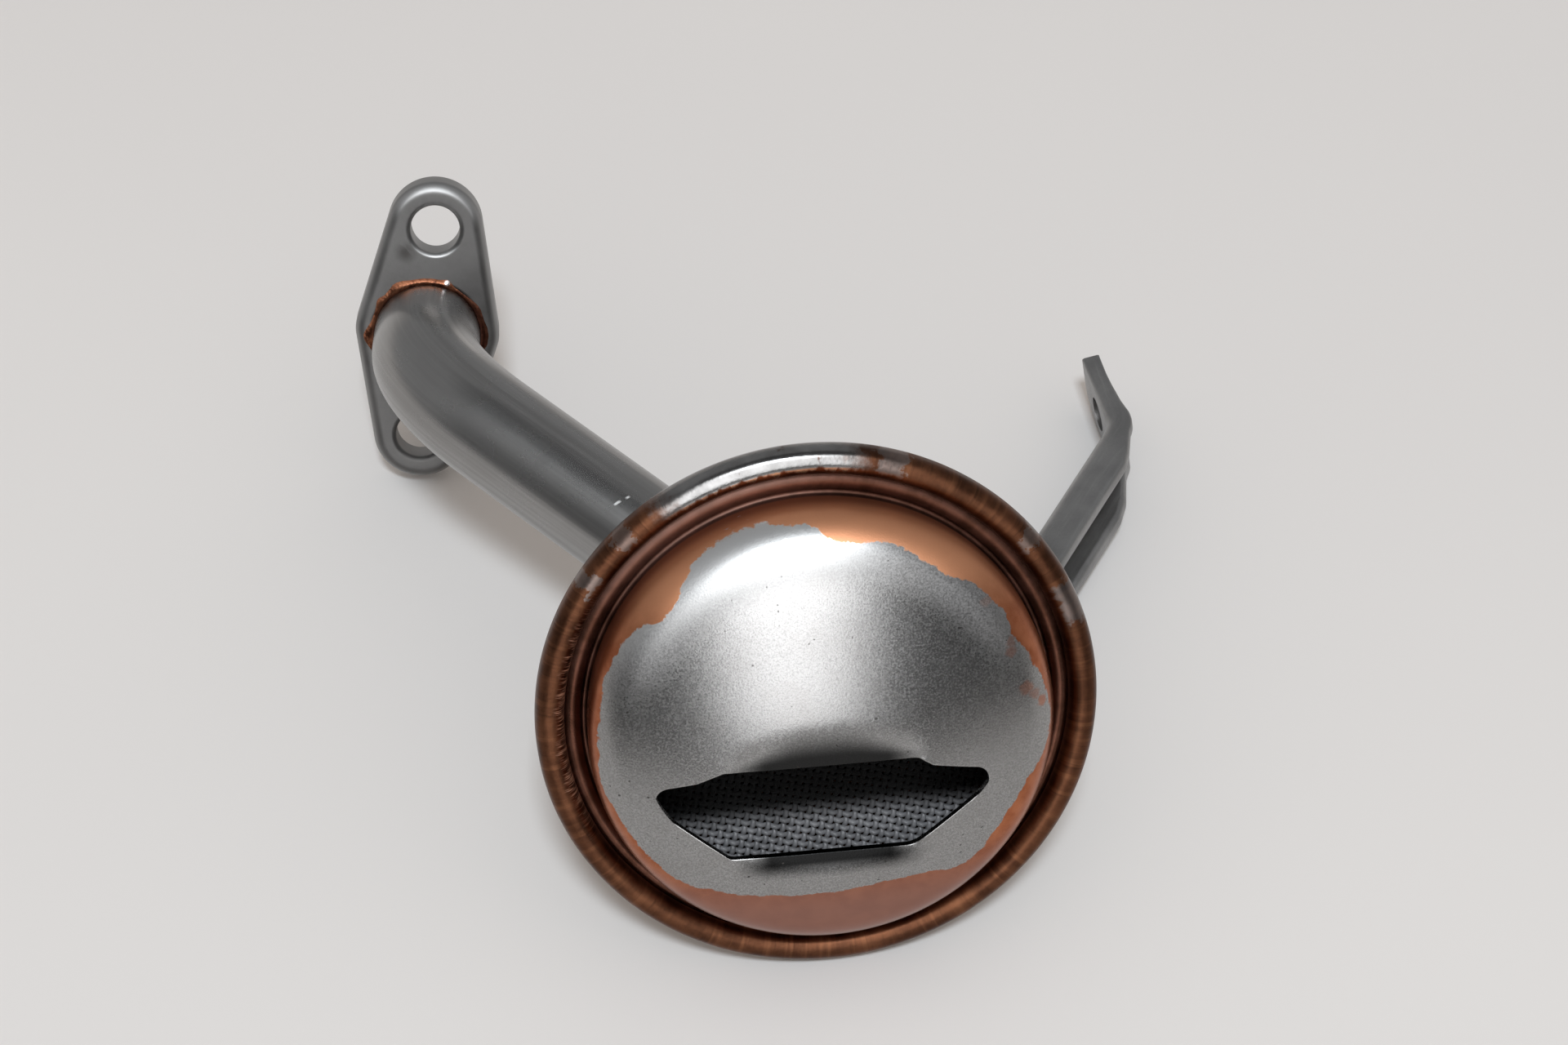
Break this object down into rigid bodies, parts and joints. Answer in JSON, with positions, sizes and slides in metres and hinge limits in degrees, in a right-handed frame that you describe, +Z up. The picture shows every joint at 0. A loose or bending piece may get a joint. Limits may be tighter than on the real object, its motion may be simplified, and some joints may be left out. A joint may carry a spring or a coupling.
{
  "type": "oil pickup tube",
  "caption": "Brazed steel oil pickup: bolted flange, bent suction tube, round strainer with a slotted inlet cap in a rolled copper-washed rim, and a channel-section support bracket.",
  "frame": {"origin": "on the level surface the part lies on, under the middle of its bounding box", "axes": "+Z up, -Y toward the side the strainer's inlet faces, +X toward the support bracket's side"},
  "size_m": [0.1404, 0.144, 0.078],
  "materials": {
    "steel_flange": "satin, lightly tarnished",
    "steel_tube": "satin, drawn",
    "steel_copper_washed": "semi-gloss, brown copper wash with bare patches",
    "wire_screen": "dark woven wire",
    "steel_cap": "satin, copper wash round the edge",
    "steel_bracket": "matt grey",
    "copper_braze": "satin, uneven"
  },
  "bodies": {
    "root": {"mounting_flange": "steel_flange", "pickup_tube": "steel_tube", "strainer_housing": "steel_copper_washed", "strainer_screen": "wire_screen", "strainer_cap": "steel_cap", "support_bracket": "steel_bracket", "flange_braze": "copper_braze", "housing_braze": "copper_braze", "bracket_braze": "copper_braze"}
  },
  "joints": []
}
